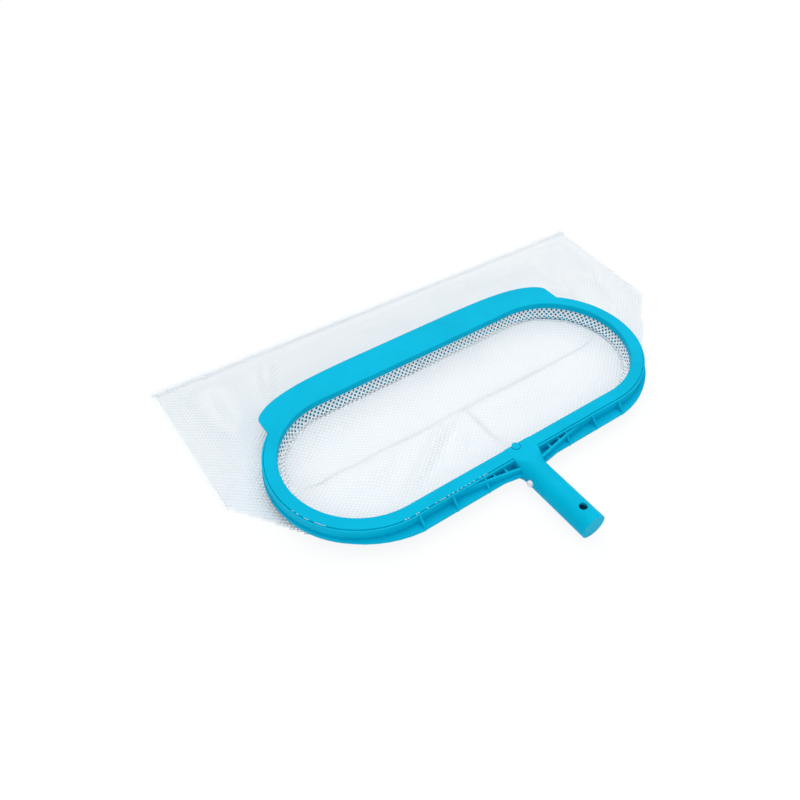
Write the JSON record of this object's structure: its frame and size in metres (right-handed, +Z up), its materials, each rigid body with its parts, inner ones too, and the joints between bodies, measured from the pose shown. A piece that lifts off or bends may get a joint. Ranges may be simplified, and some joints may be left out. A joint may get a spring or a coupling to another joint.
{
  "type": "pool leaf skimmer net",
  "caption": "Oblong ribbed plastic hoop with a scoop lip and a round pole spigot with a snap button, holding a wide mesh bag that lies flat.",
  "frame": {"origin": "on the spigot's axis, where its straight part begins, 13 mm from the neck where a pole's end stops", "axes": "+X along the ring's length, to the right seen from the pole; +Y from the spigot to the scoop lip and the bag; +Z up, with the bag lying on the ground at Z -13.4 mm"},
  "size_m": [0.588, 0.399, 0.027],
  "materials": {
    "blue_plastic": "smooth moulded, lightly glossy",
    "white_plastic": "smooth, slightly translucent look",
    "spring_steel": "satin",
    "white_mesh": "open knitted netting"
  },
  "bodies": {
    "frame": {"main_frame": "blue_plastic", "clamp_ring": "blue_plastic", "spigot_end_plug": "blue_plastic", "button_spring": "spring_steel", "bag_mouth_band": "white_mesh", "bag_front_panel_left": "white_mesh", "bag_front_panel_right": "white_mesh", "bag_lower_panel": "white_mesh", "bag_upper_panel": "white_mesh", "bag_long_seam": "white_mesh", "bag_short_seam": "white_mesh", "bag_far_hem": "white_mesh", "bag_side_seam_left": "white_mesh", "bag_side_seam_right": "white_mesh"},
    "button": {"snap_button": "white_plastic"}
  },
  "joints": [
    {"name": "button_press", "type": "slide", "parent": "frame", "child": "button", "axis": [1, 0, 0], "range_m": [0, 0.0035], "stiffness_N_per_m": 1500, "springref_m": -0.002, "deforming": ["button_spring"]}
  ]
}
